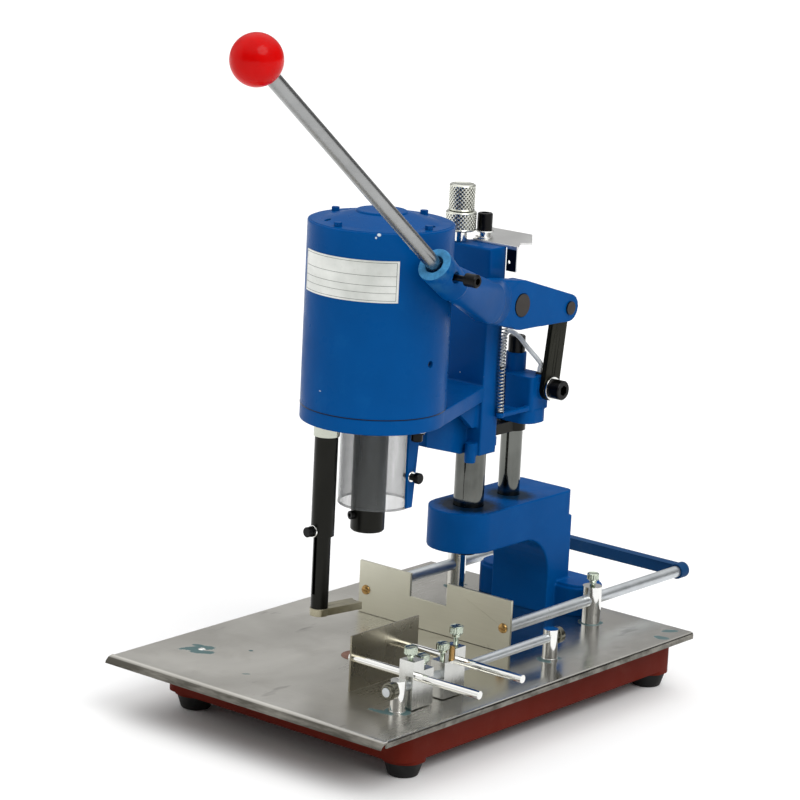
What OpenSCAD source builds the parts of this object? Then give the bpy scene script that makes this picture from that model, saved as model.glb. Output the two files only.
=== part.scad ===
// Bench paper drill: cast base with a sheet table, column stand, sliding motor
// head worked by a side lever, sprung paper foot, rear fence and side gauge.
// Millimetres. +Z up, -Y is the operator's side, +X the lever side.
// Origin: ground plane, centre of the overall footprint.

/* [Table] */
// width of the table sheet (X)
table_w = 348; // [340:1:356]
// depth of the table sheet (Y)
table_d = 503; // [500:1:508]
// sheet thickness
table_t = 2; // [1.5:0.5:2.5]
// height of the table top above the ground
table_h = 61; // [58:1:66]
// length of the turned-down front flange
front_flange = 11; // [8:1:14]

/* [Base and feet] */
// wall thickness of the base casting
base_wall = 9; // [7:1:11]
// rubber foot radius at the ground
foot_r = 14.7; // [13:0.1:16]

/* [Stand] */
// front column radius
col_r = 15.4; // [14:0.1:16]
// rear column radius
rear_r = 11.2; // [11:0.1:12]
// half width of the stand arm
arm_hw = 36; // [34:1:38]
// height of the arm top above the table
arm_top = 127.3; // [125:0.1:130]

/* [Motor] */
// motor shell radius
motor_r = 70.7; // [69:0.1:71]
// shell height above the flange
motor_h = 179; // [176:0.1:184]

/* [Paper foot] */
// outer radius of the foot tube
tube_r = 11.4; // [11.2:0.1:13]
// radius of the sliding rod
rod_r = 8.5; // [8:0.1:9]

/* [Lever] */
// radius of the handle rod
handle_r = 7.3; // [7:0.1:8]
// radius of the ball knob
knob_r = 23.7; // [22:0.1:25]
// X of the handle plane
lever_x = 92; // [91:1:95]

/* [Fence and gauge] */
// fence plate height
fence_h = 55; // [50:1:58]
// fence guide rod radius
frod_r = 6; // [5.5:0.1:6.5]
// gauge plate height
gauge_h = 56; // [52:1:58]

/* [Hidden] */
$fn = 64;
ox = -22.3;
oy = -242.65;
sx = 0;       // spindle X
sy = 184.4;   // spindle Y
cy = 344.5;   // front column Y
ry = 411.2;   // rear column Y
zf = 256.2;   // top of the head flange
ft = 15.2;    // flange thickness
tc = 4;       // table centre X
run = 0.05;   // running clearance
av = [53, 345.5, 341.3];   // lever pivot
bv = [53, 426, 328.5];     // lever rear pin
cv = [43, 415, 245.4];     // link lower bolt
barrel = [lever_x, 151.5, 411.4];
ha = 51.3;    // handle tilt from vertical
cs = [lever_x, 165.8, 399.4]; // lever clamp screw
tx = -9;      // cap screw on the block
ty = 358.3;
dsx = -22;    // depth screw
dsy = 336;
lead = [[-8, 398, 259.5], [-8, 398, 264], [-8, 398, 270], [-7, 396, 287], [1, 394, 300], [12, 396, 297], [22, 400, 286], [33, 408, 271], [33, 408, 265], [33, 408, 259.5]]; // lead route
px = -10;     // paper foot tube X
py = 129;     // paper foot tube Y
gx = 131.5;   // gauge rod X
gz = 23;      // gauge rod height
xz = 33.2;    // gauge cross rod height
y1 = 96.5;    // front cross rod Y
y2 = 164.5;   // rear cross rod Y
fxl = -92;    // fence rod X, left
fxr = 85.5;   // fence rod X, right
fz = 25;      // fence rod height
fpy = 450;    // fence post Y
bolt_red = [0.40, 0.12, 0.09];
steel = [0.72, 0.72, 0.70];
blue = [0.08, 0.28, 0.52];
dark = [0.08, 0.08, 0.09];
chrome = [0.82, 0.82, 0.80];
zinc = [0.60, 0.64, 0.58];

module place() { translate([ox, oy, table_h]) children(); }
module xcyl(p, r, l) { translate(p) rotate([0, 90, 0]) cylinder(h = l, r = r); }
module ycyl(p, r, l) { translate(p) rotate([-90, 0, 0]) cylinder(h = l, r = r); }
module zcyl(p, r, l) { translate(p) cylinder(h = l, r = r); }
module yz(x, l, pts) { translate([x, 0, 0]) rotate([90, 0, 90]) linear_extrude(l) polygon(pts); }
module xz_ext(y, l, pts) { translate([0, y + l, 0]) rotate([90, 0, 0]) linear_extrude(l) polygon(pts); }
// rounded rectangle outline
module rrect(x0, x1, y0, y1, r) {
  translate([x0 + r, y0]) square([x1 - x0 - 2 * r, y1 - y0]);
  translate([x0, y0 + r]) square([x1 - x0, y1 - y0 - 2 * r]);
  for (x = [x0 + r, x1 - r], y = [y0 + r, y1 - r]) translate([x, y]) circle(r);
}
module hexhole(r, h) { cylinder(h = h, r = r, $fn = 6); }
module along_handle(p) { translate(p) rotate([ha, 0, 0]) children(); }
// thumb screw: plain shank, collar and a knurl-ready head
module thumb(r_sh, h_sh, r_hd, h_hd) {
  cylinder(h = h_sh, r = r_sh);
  translate([0, 0, h_sh]) rotate_extrude() polygon([[0, 0], [r_hd * 0.62, 0], [r_hd * 0.62, 2.2], [r_hd, 3.2], [r_hd, 3.2 + h_hd - 1], [r_hd - 1, 3.2 + h_hd], [0, 3.2 + h_hd]]);
}
// socket head cap screw pointing along -Z, head base at z = 0
module capscrew(r_sh, l_sh, r_hd, h_hd) {
  difference() {
    union() {
      translate([0, 0, -l_sh]) cylinder(h = l_sh + 0.01, r = r_sh);
      rotate_extrude() polygon([[0, 0], [r_hd, 0], [r_hd, h_hd - 1], [r_hd - 1, h_hd], [0, h_hd]]);
    }
    translate([0, 0, h_hd - h_hd * 0.55]) hexhole(r_hd * 0.56, h_hd);
  }
}

// ---- base ----
module base_casting() color(bolt_red) place() {
  x0 = tc - 153; x1 = tc + 153; yb0 = 62; yb1 = 500; zt = -table_t - 0.1; zb = -42;
  difference() {
    translate([0, 0, zb]) linear_extrude(zt - zb) rrect(x0, x1, yb0, yb1, 14);
    translate([0, 0, zb - 1]) linear_extrude(zt - zb - 7) rrect(x0 + base_wall, x1 - base_wall, yb0 + base_wall, yb1 - base_wall, 8);
    zcyl([-4, 185, zb], 14, 60);
    for (x = [tc - 132.7, tc + 132.7], y = [87, 484]) zcyl([x, y, -60], 3.6, 40);
  }
  // corner bosses for the feet
  for (x = [tc - 132.7, tc + 132.7], y = [87, 484]) difference() {
    zcyl([x, y, -46], 21, 38);
    zcyl([x, y, -47], 3.6, 30);
    translate([x - 30, 500, -50]) cube([60, 20, 60]);
    translate([x > 0 ? x1 : x0 - 30, y - 30, -50]) cube([30, 60, 60]);
  }
  // stiffening ribs under the deck
  translate([x0 + 4, 270, -36]) cube([x1 - x0 - 8, 6, 28]);
}
module table_sheet() color(steel) place() {
  x0 = tc - table_w / 2; x1 = tc + table_w / 2; t = table_t;
  difference() {
    translate([x0 + 3, 10, -t]) cube([table_w - 6, table_d - 10, t]);
    zcyl([-4, 185, -5], 17.05, 10);
    zcyl([-122, 86, -5], 2.6, 10);
  }
  // front flange, rolled over the edge
  yz(x0, table_w, [[10.02, 0], [4.5, -1.2], [0.8, -4.4], [0, -front_flange + 4], [1.6, -front_flange + 4], [2.4, -5.2], [5.6, -3], [10.02, -t]]);
  // side and rear flanges
  xz_ext(9, table_d - 9, [[x1 - 3.01, 0], [x1 - 0.8, -0.7], [x1, -2.6], [x1, -7], [x1 - 1.6, -7], [x1 - 1.6, -3], [x1 - 3.01, -t]]);
  xz_ext(9, table_d - 9, [[x0 + 3.01, 0], [x0 + 0.8, -0.7], [x0, -2.6], [x0, -7], [x0 + 1.6, -7], [x0 + 1.6, -3], [x0 + 3.01, -t]]);
}
module rubber_feet() color(dark) place()
  for (x = [tc - 132.7, tc + 132.7], y = [87, 484]) translate([x, y, -61]) difference() {
    rotate_extrude() polygon([[0, 0], [foot_r - 1, 0], [foot_r, 1.2], [19, 15], [0, 15]]);
    translate([0, 0, -0.01]) cylinder(h = 5, r = 6);
    cylinder(h = 20, r = 3.2);
  }
module drill_pad() color([0.35, 0.17, 0.13]) place() zcyl([-4, 185, -table_t], 17, table_t + 0.3);

module stand_casting() color(blue) place() {
  difference() {
    union() {
      // arm with a rounded front end
      translate([0, 0, 86]) linear_extrude(arm_top - 86) {
        translate([0, 337]) circle(arm_hw);
        rrect(-arm_hw, arm_hw, 327, 476, 8);
      }
      // rear pillar and the curved haunch below the arm
      yz(-arm_hw, 2 * arm_hw, concat([[476, 0], [476, 100], [396, 100], [396, 86.2]],
        [for (a = [0 : 9 : 90]) [396 + 43.3 * sin(a), 86.2 - 45 + 45 * cos(a)]], [[439.3, 0]]));
      // foot block
      translate([0, 0, 0]) linear_extrude(29) rrect(-73, 73, 452, 500.5, 22);
      translate([0, 0, 28.99]) linear_extrude(3.5) rrect(-70.5, 70.5, 454.5, 498, 20);
    }
    zcyl([0, cy, 80], col_r, 60);
    zcyl([0, ry, 104], rear_r, 40);
  }
}
module front_column() color(steel) place() {
  zcyl([0, cy, 86], col_r, 256);
  translate([0, cy, 341.9]) rotate_extrude() polygon([[0, 0], [col_r, 0], [col_r - 2, 2.2], [0, 2.2]]);
}
module rear_column() color(steel) place() difference() {
  zcyl([0, ry, 104], rear_r, 148);
  zcyl([0, ry, 222], 4.5, 40);
}
module column_nut() color(dark) place() translate([0, cy, 76]) {
  difference() { cylinder(h = 8, r = 10); translate([0, 0, -0.1]) cylinder(h = 4, r = 5.5, $fn = 6); }
  translate([0, 0, 7.99]) cylinder(h = 2.01, r = 14);
}
module rear_block() color(blue) place() difference() {
  union() {
    translate([0, 0, 222]) linear_extrude(35) rrect(-20, 34.5, 394, 425, 4);
    translate([0, 0, 208.5]) linear_extrude(14) rrect(-22, 35, 390, 426, 13);
    zcyl([0, ry, 256], 10.5, 20.5);
    // side hub for the link bolt
    xcyl([30, cv[1], cv[2]], 13, 7.5);
    // arm and seat for the return spring
    translate([26.5, 349.5, 222.5]) cube([6, 45, 4.5]);
    zcyl([29.5, 349.5, 222.5], 4.4, 4.5);
    // lead entries
    for (q = [lead[0], lead[len(lead) - 1]]) zcyl([q[0], q[1], 256], 4.2, 3.5);
  }
  zcyl([0, ry, 200], rear_r, 52);
  zcyl([0, ry, 240], 4.5, 50);
  xcyl([16, cv[1], cv[2]], 6, 40);
  translate([-1, 380, 200]) cube([2, 20, 62]);
}
module rear_cap() color(dark) place() translate([0, ry, 276.6]) {
  capscrew(4.4, 50, 8.7, 17);
}
module link_bolt() color(dark) place() translate([46.2, cv[1], cv[2]]) rotate([0, 90, 0]) {
  capscrew(5.98, 28, 10, 13);
}
module link_washer() color(chrome) place() difference() {
  xcyl([44.2, cv[1], cv[2]], 12, 1.9);
  xcyl([43, cv[1], cv[2]], 6.1, 4);
}
module top_washers() color(chrome) place() translate([tx, ty, 0]) difference() {
  union() { translate([0, 0, 398]) cylinder(h = 2, r = 9); translate([0, 0, 400]) cylinder(h = 4.8, r = 6.4); translate([0, 0, 404.8]) cylinder(h = 1.6, r = 9.4); }
  translate([0, 0, 390]) cylinder(h = 30, r = 4.1);
}
module top_cap_screw() color(dark) place() translate([tx, ty, 406.4]) capscrew(3.95, 18.6, 7.7, 17.4);
module top_bracket() color(steel) place() difference() {
  union() {
    translate([0, 0, 395.55]) linear_extrude(2.4) { polygon([[-17, 350], [-15, 348], [40.5, 348], [40.5, 351], [31, 366], [37.4, 377], [8, 416], [-46, 416], [-17, 374]]); }
    translate([28, 348, 372]) cube([12.5, 2.2, 25]);
  }
  zcyl([tx, ty, 390], 4.2, 20);
  ycyl([31, 340, 381], 1.8, 20);
}
// points along a smooth curve through p, n steps per span
function cr(a, b, c, d, t) = 0.5 * ((2 * b) + (c - a) * t + (2 * a - 5 * b + 4 * c - d) * t * t + (3 * b - a - 3 * c + d) * t * t * t);
function smooth(p, n) = [for (i = [0 : len(p) - 2]) for (k = [0 : n - (i == len(p) - 2 ? 0 : 1)])
  cr(p[max(i - 1, 0)], p[i], p[i + 1], p[min(i + 2, len(p) - 1)], k / n)];
function unit(v) = v / norm(v);
// tube of radius r along the points q, ns sides, rolled about the fixed vector m
module tube(q, r, ns, m) {
  n = len(q);
  pts = [for (i = [0 : n - 1]) let (t = unit(q[min(i + 1, n - 1)] - q[max(i - 1, 0)]), u = unit(m - (m * t) * t), w = cross(t, u))
    for (j = [0 : ns - 1]) q[i] + r * (cos(360 * j / ns) * u + sin(360 * j / ns) * w)];
  polyhedron(pts, concat([[for (j = [0 : ns - 1]) ns - 1 - j]], [[for (j = [0 : ns - 1]) (n - 1) * ns + j]],
    [for (i = [0 : n - 2]) for (j = [0 : ns - 1]) [i * ns + j, i * ns + (j + 1) % ns, (i + 1) * ns + (j + 1) % ns]],
    [for (i = [0 : n - 2]) for (j = [0 : ns - 1]) [i * ns + j, (i + 1) * ns + (j + 1) % ns, (i + 1) * ns + j]]));
}
module power_lead() color([0.72, 0.72, 0.70]) place() tube(smooth(lead, 3), 2.4, 10, [-0.25, 0.97, 0]);

// ---- side gauge, fixed parts ----
module gauge_rod() color(chrome) place() ycyl([gx, 62, gz], 4.5, 270);
module gauge_posts() color(chrome) place() for (y = [80, 318]) difference() {
  union() {
    zcyl([gx, y, 0.02], 7.5, 31.5);
    zcyl([gx, y, 0.02], 8.2, 2);
  }
  ycyl([gx, y - 12, gz], 4.5, 24);
}
module gauge_nuts() color(dark) place() {
  difference() {
    union() { ycyl([gx, 62.6, gz], 6.6, 3.4); ycyl([gx, 65.9, gz], 8.4, 6.5); }
    ycyl([gx, 60, gz], 4.55, 20);
  }
  difference() { ycyl([gx, 325.6, gz], 8.4, 6.2); ycyl([gx, 320, gz], 4.55, 20); }
}
module fence_posts() color(chrome) place() for (x = [fxl, fxr]) difference() {
  union() { zcyl([x, fpy, 0.02], 10, 39.5); }
  ycyl([x, fpy - 20, fz], frod_r + run, 40);
  zcyl([x, fpy, 30], 3.05, 20);
}
module fence_post_screws() color(zinc) place() for (x = [fxl, fxr]) translate([x, fpy, fz + frod_r + 0.4]) thumb(3, 11.7, 6.2, 7.5);

// ---- head ----
module head_casting() color(blue) place() difference() {
  union() {
    // motor flange and its tapered neck
    translate([sx, sy, zf - ft]) cylinder(h = ft, r = motor_r, $fn = 128);
    translate([0, 0, zf - ft]) linear_extrude(ft) polygon([[-64, sy + 30], [-63.2, sy + 32], [-24, 330], [24, 330], [63.2, sy + 32], [64, sy + 30], [40, sy], [-40, sy]]);
    // column sleeve
    difference() { zcyl([0, cy, 185], 24, 210.5); translate([-30, 310, 184]) cube([60, 17, 213]); }
    yz(-24.8, 49.6, [[326, 185], [352, 185], [352, 395.5], [328.5, 395.5], [326, 394.3]]);
    // boss for the depth screw
    zcyl([dsx, dsy, 330], 8, 65.5);
    zcyl([dsx, dsy, 318], 7, 12.5);
    // ribs below the flange
    yz(-7, 14, [[262, 242], [262, 201], [318, 185], [330, 185], [330, 242]]);
    for (s = [-1, 1]) translate([s * 17, 0, 0]) yz(-3, 6, [[285, 242], [318, 214], [330, 214], [330, 242]]);
    // pivot boss, spring lug, stop boss
    xcyl([20, av[1], av[2]], 13, 14.4);
    translate([20, 343.5, 322]) cube([14.3, 12, 10]);
    zcyl([15.2, 323, 177.5], 5.8, 20);
    // cable gland pad behind the sleeve
    translate([-9, 362, 196]) cube([18, 7.5, 14]);
    translate([-11, 360, 186]) cube([22, 12, 9.9]);
  }
  zcyl([0, cy, 170], col_r + run, 217);
  zcyl([tx, ty, 387.4], 4, 20);
  zcyl([sx, sy, zf - ft - 1], 20, ft + 2);
  zcyl([sx, sy, zf - 9], 26, 10);
  zcyl([px, py, zf - ft - 1], 6.2, ft + 2);
  zcyl([dsx, dsy, 300], 4 + run, 120);
  xcyl([16.5, av[1], av[2]], 8, 30);
  for (a = [45 : 90 : 315]) translate([sx + 61 * cos(a), sy + 61 * sin(a), zf - ft - 1]) cylinder(h = ft + 2, r = 3.1);
  zcyl([51, 191, zf - ft - 1], 3.1, 10);
  // counterbores for the motor bolts
  for (a = [45 : 90 : 315]) translate([sx + 61 * cos(a), sy + 61 * sin(a), zf - ft - 1]) cylinder(h = 8.6, r = 5.9);
}
module guide_arm() color(dark) place() difference() {
  union() {
    zcyl([0, ry, 196], 13.6, 11);
    translate([-9, 369.6, 196]) cube([18, 36, 11]);
  }
  zcyl([0, ry, 190], rear_r + run, 30);
  ycyl([0, 360, 201.5], 2.6, 30);
}
module motor_shell() color(blue) place() translate([sx, sy, zf]) difference() {
  union() {
    cylinder(h = motor_h - 4, r = motor_r, $fn = 128);
    translate([0, 0, motor_h - 4.01]) rotate_extrude($fn = 128) polygon([[0, 0], [motor_r, 0], [motor_r, 2.6], [motor_r - 0.4, 3.6], [motor_r - 1.4, 4], [0, 4]]);
    // terminal pad on the rear
    translate([-17, 58, 40]) cube([34, 17, 60]);
  }
  translate([0, 0, 8]) cylinder(h = motor_h, r = motor_r - 4.5, $fn = 128);
  translate([0, 0, -1]) cylinder(h = 12, r = 20);
  rotate([0, 0, -2.6]) translate([motor_r - 12, 0, 51.5]) rotate([0, 90, 0]) cylinder(h = 20, r = 3.4);
  for (a = [45 : 90 : 315]) rotate([0, 0, a]) translate([61, 0, -1]) cylinder(h = 12, r = 3.1);
}
module motor_cover() color(blue) place() translate([sx, sy, zf + motor_h + 0.02]) difference() {
  union() {
    rotate_extrude($fn = 128) polygon([[0, 0], [motor_r - 2.2, 0], [motor_r - 2.6, 0.5], [56.4, 0.6], [54.6, 1.2], [27, 8.6], [25.4, 8.8], [24.8, 10.2], [23.6, 10.8], [0, 10.8]]);
    translate([0, 0, -9]) cylinder(h = 9.01, r = motor_r - 4.6, $fn = 128);
  }
  translate([0, 0, -10]) difference() { cylinder(h = 9.5, r = 60, $fn = 96); cylinder(h = 20, r = 25); }
  translate([0, 0, -10]) cylinder(h = 9.4, r = 21.02);
  translate([0, 0, -1]) cylinder(h = 5, r = 18);
  for (a = [-3 : 90 : 267]) rotate([0, 0, a]) translate([60.6, 0, -10]) cylinder(h = 14, r = 2.05);
  for (a = [12, 125, 238]) rotate([0, 0, a]) translate([54, 0, -10]) cylinder(h = 16, r = 3.4);
}
module cover_screws() color(blue) place() translate([sx, sy, zf + motor_h + 0.64])
  for (a = [-3 : 90 : 267]) rotate([0, 0, a]) translate([60.6, 0, 0]) {
    translate([0, 0, -8]) cylinder(h = 8, r = 2);
    cylinder(h = 4, r = 4, $fn = 6);
  }
module nameplate() color([0.78, 0.78, 0.74]) place() translate([sx, sy, 369.4]) rotate([0, 0, -125]) rotate_extrude(angle = 89.7, $fn = 128) translate([motor_r, 0]) square([0.7, 39.9]);
module stator() color([0.35, 0.33, 0.32]) place() translate([sx, sy, 285]) difference() {
  union() { cylinder(h = 110, r = motor_r - 4.55, $fn = 128); translate([0, 0, -12]) cylinder(h = 134, r = 60, $fn = 96); }
  translate([0, 0, -20]) cylinder(h = 160, r = 41.5, $fn = 96);
}
module bearings() color(chrome) place() translate([sx, sy, 0]) {
  translate([0, 0, zf - 9]) difference() { cylinder(h = 9, r = 25.98); translate([0, 0, -1]) cylinder(h = 12, r = 14.06); }
  translate([0, 0, 426.2]) difference() { cylinder(h = 8.3, r = 21); translate([0, 0, -1]) cylinder(h = 11, r = 8.06); }
}
module motor_bolts() color(dark) place() {
  for (a = [45 : 90 : 315]) translate([sx + 61 * cos(a), sy + 61 * sin(a), zf - ft + 7.55]) rotate([180, 0, 0]) capscrew(3, 15, 5.6, 7);
  translate([51, 191, 234.6]) rotate([180, 0, 0]) capscrew(3, 14, 5.6, 7.4);
  translate([51, 191, 234.61]) difference() { cylinder(h = 3.5, r = 7.4); translate([0, 0, -1]) cylinder(h = 6, r = 3.05); }
}

// ---- paper foot ----
module presser_nut() color(chrome) place() translate([px, py, 0]) difference() {
  union() { translate([0, 0, 231.4]) cylinder(h = 9.6, r = 12.7); translate([0, 0, 240.9]) cylinder(h = 14, r = 6.15); }
  translate([0, 0, 230]) cylinder(h = 6, r = 8);
}
module presser_tube() color(dark) place() translate([px, py, 0]) difference() {
  translate([0, 0, 132.5]) cylinder(h = 98.8, r = tube_r);
  translate([0, 0, 120]) cylinder(h = 106, r = rod_r + run);
  // hole for the guide screw
  rotate([0, 0, -8]) translate([0, -20, 138]) rotate([-90, 0, 0]) cylinder(h = 14, r = 2.55);
}
module presser_screw() color(dark) place() translate([px, py, 138]) rotate([0, 0, -8]) rotate([90, 0, 0]) {
  translate([0, 0, 8.9]) cylinder(h = 5.4, r = 2.5);
  translate([0, 0, 14.2]) rotate_extrude() polygon([[0, 0], [5.2, 0], [5.2, 1.2], [4.4, 1.3], [5, 2], [5, 6], [4.4, 6.8], [0, 6.8]]);
}
module presser_rod() color(dark) place() translate([px, py, 0]) difference() {
  union() { translate([0, 0, 60]) cylinder(h = 112, r = rod_r); translate([0, 0, 52.6]) cylinder(h = 8, r = 4); }
  // guide slot facing the operator
  rotate([0, 0, -8]) translate([-2, -rod_r - 1, 74]) cube([4, 4.6, 67]);
}
module presser_foot() color([0.45, 0.40, 0.30]) place() difference() {
  translate([px, py, 52.4]) rotate([0, 0, -10.2]) {
    linear_extrude(7.4) difference() {
      union() { circle(9.2); translate([-8, 0]) square([16, 47.5]); }
      translate([0, 56.6]) circle(11);
    }
  }
  zcyl([px, py, 50], 4.0, 12);
}
module presser_spring() color(steel) place() translate([px, py, 173]) difference() {
  cylinder(h = 52, r = 7.4);
  translate([0, 0, -1]) cylinder(h = 60, r = 5.6);
}

// ---- guard ----
module guard_cylinder() color([0.85, 0.88, 0.88, 0.4]) place() translate([3.5, 189.5, 157]) difference() {
  cylinder(h = 78, r = 36, $fn = 96);
  translate([0, 0, -1]) cylinder(h = 80, r = 34.3, $fn = 96);
  translate([30, 6.5, 32.5]) rotate([0, 90, 0]) cylinder(h = 12, r = 2.1);
}
module guard_bracket() color(blue) place() difference() {
  union() {
    yz(39.8, 2.6, [[183, 241], [207, 241], [206, 225], [199.5, 158.5], [191, 158.5], [190, 200], [190, 236], [183, 238.3]]);
    translate([39.8, 183, 238.2]) cube([20, 17, 2.8]);
  }
  xcyl([36, 196, 189.5], 2.6, 12);
  zcyl([51, 191, 230], 3.1, 15);
}
module guard_screw() color(dark) place() translate([33.5, 196, 189.5]) rotate([0, 90, 0]) {
  cylinder(h = 12, r = 2);
  translate([0, 0, 9]) rotate_extrude() polygon([[0, 0], [3.4, 0], [3.4, 3], [2.4, 4.6], [5.4, 6], [5.4, 10.4], [4.6, 11.4], [0, 11.4]]);
}

// ---- spindle ----
module rotor_shaft() color([0.25, 0.25, 0.26]) place() translate([sx, sy, 0]) {
  difference() {
    union() {
      translate([0, 0, 152]) cylinder(h = 88.5, r = 17);
      translate([0, 0, 240]) cylinder(h = 42, r = 14);
      translate([0, 0, 282]) cylinder(h = 155, r = 8);
      translate([0, 0, 284]) cylinder(h = 112, r = 40.6, $fn = 96);
    }
    translate([0, 0, 140]) cylinder(h = 74, r = 6);
  }
}
module chuck() color(dark) place() translate([sx, sy, 0]) difference() {
  union() {
    rotate_extrude() polygon([[0, 130], [15.4, 130], [16.7, 131.6], [16.7, 152], [0, 152]]);
    translate([0, 0, 151.9]) cylinder(h = 55, r = 5.95);
  }
  translate([0, 0, 120]) cylinder(h = 70, r = 4);
  rotate([0, 0, -108]) translate([0, 0, 146.5]) rotate([0, 90, 0]) cylinder(h = 30, r = 2.6);
}
module chuck_screw() color(dark) place() translate([sx, sy, 146.5]) rotate([0, 0, -108]) rotate([0, 90, 0]) {
  translate([0, 0, 5]) cylinder(h = 12, r = 2.55);
  translate([0, 0, 16.8]) difference() { cylinder(h = 4, r = 4.2); translate([0, 0, 1.8]) hexhole(2.2, 5); }
}

// ---- lever ----
module lever_arm() color(blue) place() difference() {
  union() {
    // hub and rear plate
    xcyl([35, av[1], av[2]], 25, 18);
    hull() { xcyl([44.6, av[1], av[2]], 25, 8.4, $fn = 32); xcyl([44.6, bv[1], bv[2]], 14, 8.4, $fn = 32); }
    // cranked arm
    hull() {
      xcyl([37.6, av[1] - 2, av[2] + 1], 24, 15.1, $fn = 32);
      xcyl([37.6, 305, 349], 22.2, 15.1, $fn = 32);
    }
    hull() {
      xcyl([38, 306.4, 348.8], 21.8, 14.4, $fn = 32);
      xcyl([64, 262, 358], 20, 15, $fn = 32);
    }
    hull() {
      xcyl([64.3, 262.3, 357.9], 19.7, 14.4, $fn = 32);
      along_handle(barrel) translate([0, 0, -41]) cylinder(h = 22, r = 13.9, $fn = 32);
    }
    // rod socket
    along_handle(barrel) translate([0, 0, -44]) rotate_extrude() polygon([[0, 0], [13, 0], [15.4, 3], [17.2, 36], [17.2, 43.2], [16.2, 44], [0, 44]]);
  }
  xcyl([30, av[1], av[2]], 8 + run, 30);
  xcyl([50.4, av[1], av[2]], 11.7, 10);
  xcyl([40, bv[1], bv[2]], 5, 20);
  along_handle(barrel) translate([0, 0, -26]) cylinder(h = 40, r = handle_r);
  along_handle(barrel) translate([0, 0, -5]) cylinder(h = 10, r = handle_r + 1.8);
  xcyl([lever_x, cs[1], cs[2]], 3.05, 30);
  xcyl([lever_x + 13, cs[1], cs[2]], 5.4, 20);
}
module lever_rod() color(chrome) place() along_handle(barrel) translate([0, 0, -25.9]) cylinder(h = 351, r = handle_r);
module ball_knob() color([0.75, 0.06, 0.05]) place() difference() {
  translate([lever_x, -107, 618.6]) sphere(r = knob_r, $fn = 96);
  along_handle(barrel) cylinder(h = 325.2, r = handle_r + 0.02);
}
module clamp_screw() color(dark) place() translate([lever_x + 28.5, cs[1], cs[2]]) rotate([0, 90, 0]) capscrew(3, 21.1, 6.4, 13);
module pivot_pin() color([0.2, 0.16, 0.14]) place() {
  xcyl([16.6, av[1], av[2]], 7.99, 34);
  xcyl([50.5, av[1], av[2]], 11.5, 3.2);
}
module link_pin() color([0.2, 0.16, 0.14]) place() {
  xcyl([37, bv[1], bv[2]], 4.98, 17);
  xcyl([53.05, bv[1], bv[2]], 6.8, 1.8);
}
module link() color(dark) place() difference() {
  union() {
    xcyl([38.1, cv[1], cv[2]], 12.8, 5.6);
    xcyl([38.1, bv[1], bv[2]], 12.2, 5.6);
    yz(38.1, 5.6, [[cv[1] - 12.6, cv[2] + 1.7], [cv[1] + 12.6, cv[2] - 1.7], [bv[1] + 12.1, bv[2] - 1.6], [bv[1] - 12.1, bv[2] + 1.6]]);
  }
  xcyl([30, cv[1], cv[2]], 6 + run, 20);
  xcyl([30, bv[1], bv[2]], 7.4, 20);
}
module return_spring() color(steel) place() translate([29.5, 349.5, 227.1]) difference() {
  cylinder(h = 94.8, r = 4.3, $fn = 32);
  translate([0, 0, -1]) cylinder(h = 100, r = 2.7, $fn = 32);
}

// ---- depth screw ----
module depth_screw() color(zinc) place() translate([dsx, dsy, -1.4]) {
  translate([0, 0, 302]) cylinder(h = 126, r = 4);
  translate([0, 0, 428]) rotate_extrude() polygon([[0, 0], [12.2, 0], [13.2, 0.9], [13.2, 25.4], [12, 27], [0, 27]]);
}
module lock_ring() color(zinc) place() translate([dsx, dsy, 406.1]) difference() {
  union() { translate([0, 0, -10.5]) cylinder(h = 10.6, r = 7);
  rotate_extrude() polygon([[0, 0], [9, 0], [14.6, 0.8], [15.5, 1.8], [15.5, 19.4], [14.6, 20.2], [0, 20.2]]); }
  translate([0, 0, -12]) cylinder(h = 60, r = 4 + run);
}
// ---- back fence ----
module fence_plate() color([0.62, 0.60, 0.52]) place() difference() {
  translate([-101.4, 300, 0.4]) cube([195.7, 3, fence_h - 0.4]);
  translate([-34.5, 295, 31]) cube([47.5, 12, 40]);
  for (x = [fxl, fxr]) ycyl([x, 290, fz], 2.6, 20);
}
module fence_screws() color([0.55, 0.42, 0.22]) place() for (x = [fxl, fxr]) {
  translate([x, 300, fz]) rotate([90, 0, 0]) difference() {
    union() { rotate_extrude() polygon([[0, 0], [5.2, 0], [4.6, 1.6], [2.4, 2.6], [0, 2.8]]); translate([0, 0, -18]) cylinder(h = 18.01, r = 2.5); }
    translate([-6, -0.6, 1.5]) cube([12, 1.2, 3]);
  }
}
module fence_rods() color(chrome) place() for (x = [fxl, fxr]) difference() {
  ycyl([x, 303, fz], frod_r, 313);
  ycyl([x, 300, fz], 2.5, 20);
}
module crossbar() color(blue) place() difference() {
  union() {
    translate([0, 604, 18.8]) linear_extrude(12.6) rrect(fxl - 1, fxr + 1, 0, 12, 0.5);
    for (x = [fxl, fxr]) ycyl([x, 602.5, fz], 8.3, 13.5);
  }
  for (x = [fxl, fxr]) ycyl([x, 600, fz], frod_r, 20);
}
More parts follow.
